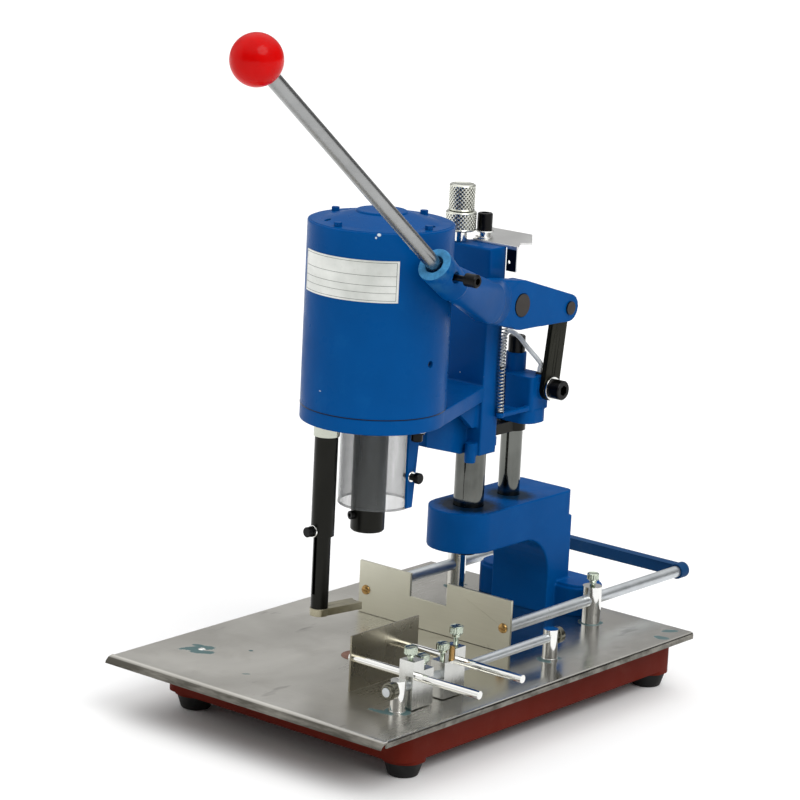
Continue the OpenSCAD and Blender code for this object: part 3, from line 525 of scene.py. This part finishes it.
LOOK = {
    "base_casting": "red", "table_sheet": "table", "rubber_feet": "rubber", "drill_pad": "pad", "stand_casting": "blue_cast",
    "front_column": "column", "rear_column": "column", "column_nut": "black", "rear_block": "blue_cast", "rear_cap": "black",
    "link_bolt": "black", "link_washer": "chrome", "power_lead": "lead", "gauge_rod": "rod2", "gauge_posts": "chrome",
    "gauge_nuts": "nut", "fence_posts": "chrome", "fence_post_screws": "zinc_green", "head_casting": "blue_cast", "guide_arm": "black_soft",
    "motor_shell": "blue", "motor_cover": "blue", "cover_screws": "blue", "nameplate": "plate", "stator": "core", "bearings": "chrome",
    "motor_bolts": "black", "presser_nut": "zinc", "presser_tube": "black_soft", "presser_screw": "black", "guard_cylinder": "clear",
    "guard_bracket": "blue", "guard_screw": "black", "pivot_pin": "pin", "return_spring": "spring", "top_washers": "chrome",
    "top_cap_screw": "black", "top_bracket": "bracket", "rotor_shaft": "spindle", "chuck": "black_soft", "chuck_screw": "black",
    "presser_rod": "black_soft", "presser_foot": "olive", "presser_spring": "spring", "lever_arm": "blue_lever", "lever_rod": "rod",
    "ball_knob": "ball", "clamp_screw": "black", "link_pin": "pin", "link": "link", "depth_screw": "zinc", "lock_ring": "zinc",
    "fence_plate": "fence", "fence_screws": "brass", "fence_rods": "rod2", "crossbar": "blue_dirty", "slide_blocks": "alu",
    "gauge_screws": "zinc_green", "side_plate": "gauge", "side_rods": "chrome"}
for k, v in LOOK.items():
    set_mat(NODE[k], M[v])

CAST = {"lever_arm": (0.00085, 3), "head_casting": (0.0009, 2), "stand_casting": (0.0010, 3), "rear_block": (0.0007, 2)}
for k, (vx, it) in CAST.items():
    cast(k, vx, it)
for k in LOOK:
    if k not in CAST and k not in ("power_lead", "return_spring", "presser_spring", "stator", "bearings", "motor_shell", "depth_screw",
                                   "lock_ring", "gauge_screws", "fence_post_screws", "nameplate", "ball_knob"):
        soften(k, {"base_casting": 0.002, "fence_plate": 0.0003, "side_plate": 0.0003,
                   "rubber_feet": 0.0008, "crossbar": 0.0006}.get(k, 0.0004))
for k in ("motor_shell", "ball_knob"):
    NODE[k].data.shade_smooth()
    NODE[k].data.set_sharp_from_angle(angle=math.radians(30))

# ------------------------------------------------------------------ mesh helpers (mm, table frame)


def make(name, verts, faces, mat, body, angle=35, rep=()):
    me = bpy.data.meshes.new(name)
    me.from_pydata([T(*v) for v in verts], [], faces)
    me.validate()
    me.update()
    bm = bmesh.new()
    bm.from_mesh(me)
    bmesh.ops.recalc_face_normals(bm, faces=bm.faces)
    bm.to_mesh(me)
    bm.free()
    for p in me.polygons:
        p.use_smooth = True
    me.set_sharp_from_angle(angle=math.radians(angle))
    o = bpy.data.objects.new(name, me)
    bpy.context.scene.collection.objects.link(o)
    o.data.materials.append(M[mat])
    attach(o, body)
    if rep:
        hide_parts(*rep)
    return o


def helix(name, cx, cy, z0, z1, r, wire, turns, mat, body, rep=(), ends=1.6, lean=(0, 0), seg=20, sides=8):
    """Closed-end compression coil."""
    n = int(turns * seg)
    path = []
    for i in range(n + 1):
        t = i / n
        a = 2 * math.pi * turns * t
        # dead coils at both ends
        q = t * turns
        pitch_zone = turns - 2 * ends
        if q < ends:
            h = wire * 2 * q
        elif q > turns - ends:
            h = (z1 - z0) - 2 * wire - (turns - q) * wire * 2
        else:
            h0, h1 = wire * 2 * ends, (z1 - z0) - 2 * wire - ends * wire * 2
            h = h0 + (h1 - h0) * (q - ends) / pitch_zone
        z = z0 + wire + h
        k = (z - z0) / (z1 - z0)
        path.append((cx + lean[0] * math.sin(math.pi * k) + r * math.cos(a), cy + lean[1] * math.sin(math.pi * k) + r * math.sin(a), z))
    v, f = sweep(path, wire, sides)
    return make(name, v, f, mat, body, 60, rep)


def sweep(path, radius, sides, cap=True):
    pts = [Vector(p) for p in path]
    verts, faces = [], []
    up = Vector((0, 0, 1))
    t0 = (pts[1] - pts[0]).normalized()
    u = (up - t0 * up.dot(t0))
    if u.length < 1e-3:
        u = Vector((1, 0, 0)) - t0 * t0.x
    u.normalize()
    for i, p in enumerate(pts):
        t = (pts[min(i + 1, len(pts) - 1)] - pts[max(i - 1, 0)]).normalized()
        u = (u - t * u.dot(t)).normalized()
        w = t.cross(u)
        rr = radius(i / (len(pts) - 1)) if callable(radius) else radius
        for k in range(sides):
            a = 2 * math.pi * k / sides
            verts.append(tuple(p + (u * math.cos(a) + w * math.sin(a)) * rr))
    for i in range(len(pts) - 1):
        for k in range(sides):
            a, b = i * sides + k, i * sides + (k + 1) % sides
            faces.append((a, b, b + sides, a + sides))
    if cap:
        faces.append(tuple(range(sides - 1, -1, -1)))
        faces.append(tuple((len(pts) - 1) * sides + k for k in range(sides)))
    return verts, faces


def basis(axis):
    n = Vector(axis).normalized()
    a = Vector((1, 0, 0)) if abs(n.x) < 0.9 else Vector((0, 1, 0))
    u = (a - n * a.dot(n)).normalized()
    return u, n.cross(u), n


def lathe(name, c, axis, prof, mat, body, seg=64, angle=35, rep=(), knurl=None, hexsock=None, slotcut=None):
    """Turned piece: prof is (radius, height) from the bottom centre outwards and back to the top centre. knurl=(h0, h1, count, depth)
    raises a diamond pattern between two heights (a fifth value makes straight flutes); hexsock=(r, depth) sinks a socket in the top."""
    u, w, n = basis(axis)
    c = Vector(c)
    rows = [p for p in prof if p[0] > 1e-6]
    if knurl:
        h0, h1, count, depth = knurl[:4]
        seg = count * 6
        new = []
        for i, (r, h) in enumerate(rows):
            new.append((r, h))
            if i + 1 < len(rows) and abs(rows[i + 1][0] - r) < 0.01 and h <= h0 + 0.01 and rows[i + 1][1] >= h1 - 0.01:
                step = 2 * math.pi * r / seg
                k = max(8, int((h1 - h0) / step))
                new += [(r, h0 + (h1 - h0) * j / k) for j in range(0, k + 1)]
        rows = new
    verts, faces, rings = [], [], []
    for r, h in rows:
        ring = []
        for k in range(seg):
            a = 2 * math.pi * k / seg
            rr = r
            if knurl and knurl[0] - 0.01 <= h <= knurl[1] + 0.01 and abs(r - max(q[0] for q in prof)) < 0.3:
                h0, h1, count, depth = knurl[:4]
                v = 0 if len(knurl) > 4 else (h - h0) / (r / count)
                g = 0.5 + 0.5 * math.cos(a * count) * math.cos(v)
                fade = min(1.0, (h - h0) / 0.8, (h1 - h) / 0.8)
                rr = r - depth * (1 - g) * max(0.0, fade)
            ring.append(len(verts))
            verts.append(tuple(c + u * rr * math.cos(a) + w * rr * math.sin(a) + n * h))
        rings.append(ring)
    for i in range(len(rings) - 1):
        for k in range(seg):
            a, b = rings[i], rings[i + 1]
            faces.append((a[k], a[(k + 1) % seg], b[(k + 1) % seg], b[k]))
    if prof[0][0] < 1e-6:
        verts.append(tuple(c + n * prof[0][1]))
        m0 = len(verts) - 1
        faces += [(m0, rings[0][(k + 1) % seg], rings[0][k]) for k in range(seg)]
    if hexsock:
        hr, hd = hexsock
        top = rings[-1]
        hz = prof[-1][1]
        inner, deep = [], []
        for k in range(seg):
            a = 2 * math.pi * k / seg
            s = (a % (math.pi / 3)) - math.pi / 6
            rr = hr * math.cos(math.pi / 6) / math.cos(s)
            inner.append(len(verts))
            verts.append(tuple(c + u * rr * math.cos(a) + w * rr * math.sin(a) + n * hz))
        for k in range(seg):
            a = 2 * math.pi * k / seg
            s = (a % (math.pi / 3)) - math.pi / 6
            rr = hr * 0.97 * math.cos(math.pi / 6) / math.cos(s)
            deep.append(len(verts))
            verts.append(tuple(c + u * rr * math.cos(a) + w * rr * math.sin(a) + n * (hz - hd)))
        verts.append(tuple(c + n * (hz - hd - hr * 0.35)))
        m1 = len(verts) - 1
        for k in range(seg):
            k2 = (k + 1) % seg
            faces.append((top[k], top[k2], inner[k2], inner[k]))
            faces.append((inner[k], inner[k2], deep[k2], deep[k]))
            faces.append((deep[k], deep[k2], m1))
    elif prof[-1][0] < 1e-6:
        verts.append(tuple(c + n * prof[-1][1]))
        m1 = len(verts) - 1
        faces += [(m1, rings[-1][k], rings[-1][(k + 1) % seg]) for k in range(seg)]
    return make(name, verts, faces, mat, body, angle, rep)


# ------------------------------------------------------------------ springs
helix("return_coil", 29.5, 349.5, 227.2, 321.9, 3.5, 0.78, 29, "spring", "head", rep=("return_spring",), lean=(-0.6, -0.8), seg=18)
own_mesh(bpy.data.objects["return_coil"])
helix("foot_coil", -10, 129, 173.05, 224.9, 6.5, 0.85, 10, "spring", "foot", rep=("presser_spring",))
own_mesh(bpy.data.objects["foot_coil"])


# ------------------------------------------------------------------ knurled knobs and thumb screws
def knob(name, c, z0, prof, knurl, mat, body, rep=(), hexsock=None):
    return lathe(name, (c[0], c[1], z0), (0, 0, 1), prof, mat, body, rep=rep, knurl=knurl, hexsock=hexsock, angle=50)


DS = (-22, 336)
knob("depth_knob_head", DS, 426.6, [(0, 0), (11.9, 0), (12.9, 0.8), (13.2, 1.4), (13.2, 25.2), (12.9, 25.9), (11.6, 26.9), (10.2, 27.0), (9.6, 26.6), (0, 26.5)],
     (1.4, 25.2, 20, 0.95), "knurl", "depth_knob", rep=("depth_screw",))
thread = [(0, 300.6), (3.0, 300.6)]
z = 301.2
while z < 425.6:
    thread += [(3.98, z), (3.55, z + 0.75)]
    z += 1.5
thread += [(3.6, 426.0), (3.6, 427.0), (0, 427.0)]
lathe("depth_screw_thread", (DS[0], DS[1], 0), (0, 0, 1), thread, "chrome", "depth_knob", seg=32, angle=20)
knob("lock_ring_body", DS, 406.1, [(4.1, 20.2), (4.1, 0), (9, 0), (14.2, 0.6), (15.2, 1.4), (15.5, 2.0), (15.5, 18.8), (15.2, 19.5), (14.2, 20.2), (4.1, 20.2)][1:],
     (2.0, 18.8, 23, 0.90), "knurl_ring", "ring", rep=("lock_ring",))
lathe("lock_ring_stem", (DS[0], DS[1], 395.65), (0, 0, 1), [(4.1, 0), (6.2, 0), (7.0, 0.8), (7.0, 9.6), (6.4, 10.5), (4.1, 10.5)], "chrome", "ring", seg=48, angle=30)


def thumb(name, x, y, z0, r_sh, h_sh, r_hd, h_hd, body, rep=()):
    """Thumb screw: threaded shank, collar, knurled head with a dished top."""
    prof = [(0, 0), (r_sh * 0.8, 0)]
    h = 0.4
    while h < h_sh - 1.2:
        prof += [(r_sh, h), (r_sh * 0.86, h + 0.4)]
        h += 0.8
    prof += [(r_sh * 0.86, h_sh - 0.6), (r_hd * 0.62, h_sh), (r_hd * 0.62, h_sh + 2.0), (r_hd * 0.66, h_sh + 2.3), (r_hd - 0.5, h_sh + 2.9), (r_hd, h_sh + 3.4),
             (r_hd, h_sh + 1.8 + h_hd), (r_hd - 0.6, h_sh + 2.4 + h_hd), (r_hd - 1.2, h_sh + 2.6 + h_hd), (r_hd - 1.8, h_sh + 2.2 + h_hd), (0, h_sh + 2.1 + h_hd)]
    return lathe(name, (x, y, z0), (0, 0, 1), prof, "zinc_green", body, rep=rep, knurl=(h_sh + 3.4, h_sh + 1.8 + h_hd, 16, 0.55, 1), angle=50)


GX = 131.5
thumb("gauge_thumb_1", GX, 96.5, 37.3, 2.5, 13, 6.6, 8, "gauge_carriage", rep=("gauge_screws",))
thumb("gauge_thumb_2", GX, 115, 27.6, 2.5, 12, 6.6, 7, "gauge_carriage")
thumb("gauge_thumb_3", GX, 145, 27.6, 2.5, 17, 6.6, 7, "gauge_carriage")
thumb("gauge_thumb_4", GX, 164.5, 37.3, 2.5, 19, 6.6, 8, "gauge_carriage")
lathe("brass_pin", (137.5, 151.2, 37.15), (0, 0, 1), [(0, 0), (2.9, 0), (2.9, 0.4), (2.6, 0.8), (2.6, 11.2), (2.9, 11.6), (2.9, 13.0), (2.5, 13.6), (0, 13.6)], "brass", "gauge_carriage", seg=40)
for i, fx in enumerate((-92, 85.5)):
    thumb("fence_thumb_%d" % (i + 1), fx, 450, 31.4, 3, 11.7, 6.2, 7.5, "base", rep=("fence_post_screws",))

# ------------------------------------------------------------------ name plate: bare sheet with a frame and rules
def arc_sheet(name, a0, a1, z0, z1, r0, r1, mat, rep=(), na=60):
    verts, faces = [], []
    for i in range(na + 1):
        a = math.radians(a0 + (a1 - a0) * i / na)
        for r, z in ((r0, z0), (r1, z0), (r1, z1), (r0, z1)):
            verts.append((r * math.cos(a), 184.4 + r * math.sin(a), z))
    for i in range(na):
        for k in range(4):
            a, b = i * 4 + k, i * 4 + (k + 1) % 4
            faces.append((a, b, b + 4, a + 4))
    faces += [(0, 1, 2, 3), tuple(na * 4 + k for k in (3, 2, 1, 0))]
    return verts, faces


def merge(parts):
    V, F = [], []
    for v, f in parts:
        F += [tuple(i + len(V) for i in q) for q in f]
        V += v
    return V, F


v, f = arc_sheet("p", -125, -35.3, 369.4, 409.3, 70.72, 71.25, "plate")
make("nameplate_sheet", v, f, "plate", "head", 30, ("nameplate",))
rules = [arc_sheet("r", -124, -37.2, z, z + 0.35, 71.2, 71.29, "ink") for z in (371.2, 378.4, 385.3, 394.6, 407.2)]
rules += [arc_sheet("r", a, a + 0.32, 371.2, 407.5, 71.2, 71.29, "ink", na=2) for a in (-124.2, -37.4)]
v, f = merge(rules)
make("nameplate_rules", v, f, "ink", "head", 30)
# painted shade: a thin dark ring laid over the seam between motor shell and flange
seam_shade_ring = [arc_sheet("g", 0, 360, 255.75, 256.55, 70.2, 70.95, "ink", na=160)]
v, f = merge(seam_shade_ring)
make("flange_seam_shade", v, f, "black_soft", "head", 30)

# ------------------------------------------------------------------ lead with its two glands
LEAD = [(-8, 398, 259.5), (-8, 398, 264), (-8, 398, 270), (-7, 396, 287), (1, 394, 300), (12, 396, 297), (22, 400, 286), (33, 408, 271), (33, 408, 265), (33, 408, 259.5)]


def catmull(p, n):
    out = []
    for i in range(len(p) - 1):
        a, b, c, d = (Vector(p[max(0, min(len(p) - 1, i + k))]) for k in (-1, 0, 1, 2))
        for j in range(n):
            t = j / n
            out.append(0.5 * (2 * b + (c - a) * t + (2 * a - 5 * b + 4 * c - d) * t * t + (3 * b - a - 3 * c + d) * t ** 3))
    out.append(Vector(p[-1]))
    return out


v, f = sweep(catmull(LEAD, 8), 2.4, 20)
make("power_lead_sleeve", v, f, "lead", "base", 60, ("power_lead",))
for i, q in enumerate((LEAD[0], LEAD[-1])):
    lathe("lead_gland_%d" % (i + 1), (q[0], q[1], 259.45), (0, 0, 1), [(2.45, 0.0), (3.9, 0.0), (4.0, 0.3), (4.0, 1.2), (3.6, 1.7), (2.45, 1.9)],
          "rubber", "base", seg=32)

# ------------------------------------------------------------------ small hardware
def washer(name, c, axis, r0, r1, t, mat, body):
    return lathe(name, c, axis, [(r0, 0), (r1 - 0.3, 0), (r1, 0.3), (r1, t - 0.3), (r1 - 0.3, t), (r0, t)], mat, body, seg=48, angle=35)


def dome_screw(name, c, axis, r, h, mat, body):
    """Slotted round head screw."""
    prof = [(0, 0), (r, 0), (r, h * 0.2)] + [(r * math.cos(t), h * 0.2 + h * 0.8 * math.sin(t)) for t in [math.pi / 2 * k / 8 for k in range(1, 8)]] + [(0, h)]
    o = lathe(name, c, axis, prof, mat, body, seg=40, angle=40)
    me = o.data
    u, w, n = basis(axis)
    cc = T(*c)
    for vv in me.vertices:
        d = vv.co - cc
        if abs(d.dot(w)) < 0.00055 and d.dot(n) > h * 0.00045:
            vv.co -= n * 0.0006
    return o


dome_screw("table_screw", (-122, 86, -0.9), (0, 0, 1), 4.2, 1.9, "chrome", "base")
PSD = (math.sin(math.radians(-8)) * 1.0, -math.cos(math.radians(-8)), 0)
lathe("guard_rim", (3.5, 189.5, 156.9), (0, 0, 1), [(33.9, 0.4), (34.3, 0), (36.0, 0), (36.3, 0.4), (36.3, 1.5), (36.0, 1.9), (34.3, 1.9), (33.9, 1.5), (33.9, 0.4)],
      "clear", "head", seg=96, angle=50)
washer("presser_screw_washer", (-10 + PSD[0] * 11.6, 129 + PSD[1] * 11.6, 138), PSD, 2.7, 6.0, 1.6, "chrome", "head")
washer("guard_bolt_washer", (51, 191, 238.1), (0, 0, -1), 3.2, 8.8, 1.4, "chrome", "head")
washer("guard_screw_washer", (42.5, 196, 189.5), (1, 0, 0), 2.1, 5.2, 1.0, "chrome", "head")
washer("cap_washer_upper", (-9, 358.3, 404.9), (0, 0, 1), 4.2, 9.7, 1.4, "chrome", "head")

# ------------------------------------------------------------------ stage
def stage():
    me = bpy.data.meshes.new("floor")
    s = 20.0
    me.from_pydata([(-s, -s, 0), (s, -s, 0), (s, s, 0), (-s, s, 0)], [], [(0, 1, 2, 3)])
    o = bpy.data.objects.new("floor", me)
    bpy.context.scene.collection.objects.link(o)
    m = Mat("floor_pale", (0.97, 0.97, 0.97), 0.0, 0.9)
    m.p.inputs["Specular IOR Level"].default_value = 0.0
    set_mat(o, m.m)
    w = bpy.data.worlds.new("world")
    bpy.context.scene.world = w
    w.use_nodes = True
    t = w.node_tree
    t.nodes.clear()
    out = t.nodes.new("ShaderNodeOutputWorld")
    bg = t.nodes.new("ShaderNodeBackground")
    tc = t.nodes.new("ShaderNodeTexCoord")
    sep = t.nodes.new("ShaderNodeSeparateXYZ")
    t.links.new(tc.outputs["Generated"], sep.inputs[0])

    def ramp(sock, lo, hi, a, b):
        r = t.nodes.new("ShaderNodeMapRange")
        r.interpolation_type = "SMOOTHSTEP"
        for k, v in (("From Min", lo), ("From Max", hi), ("To Min", a), ("To Max", b)):
            r.inputs[k].default_value = v
        t.links.new(sock, r.inputs["Value"])
        return r.outputs[0]

    def dot(v):
        d = t.nodes.new("ShaderNodeVectorMath")
        d.operation = "DOT_PRODUCT"
        d.inputs[1].default_value = v
        t.links.new(tc.outputs["Generated"], d.inputs[0])
        return d.outputs["Value"]

    def mth(op, a, b):
        q = t.nodes.new("ShaderNodeMath")
        q.operation = op
        for i, v in enumerate((a, b)):
            if isinstance(v, (int, float)):
                q.inputs[i].default_value = v
            else:
                t.links.new(v, q.inputs[i])
        return q.outputs[0]

    # dim room, wide bright ceiling, one long soft panel at the operator's left, a weaker one behind
    level = mth("ADD", ramp(sep.outputs[2], 0.30, 0.90, 0.0, WORLD["top"]), WORLD["base"])
    level = mth("ADD", level, ramp(dot((-0.86, -0.50, 0.08)), 0.72, 0.93, 0.0, WORLD["left"]))
    level = mth("ADD", level, ramp(dot((-0.60, 0.77, 0.22)), 0.55, 0.98, 0.0, WORLD["back"]))
    level = mth("ADD", level, ramp(dot((0.97, 0.10, 0.20)), 0.86, 0.97, 0.0, WORLD["right"]))
    t.links.new(level, bg.inputs["Strength"])
    bg.inputs["Color"].default_value = (1.0, 1.0, 0.995, 1)
    t.links.new(bg.outputs[0], out.inputs[0])
    sun = bpy.data.lights.new("key", "SUN")
    sun.energy = WORLD["sun"]
    sun.angle = math.radians(40)
    so = bpy.data.objects.new("key", sun)
    bpy.context.scene.collection.objects.link(so)
    so.rotation_mode = "QUATERNION"
    so.rotation_quaternion = Vector((0.70, -0.20, 0.75)).to_track_quat("Z", "Y")
    bpy.context.scene.view_settings.view_transform = "Standard"


WORLD = {"top": 1.15, "base": 0.14, "left": 0.80, "back": 0.25, "right": 0.25, "sun": 1.3}
stage()
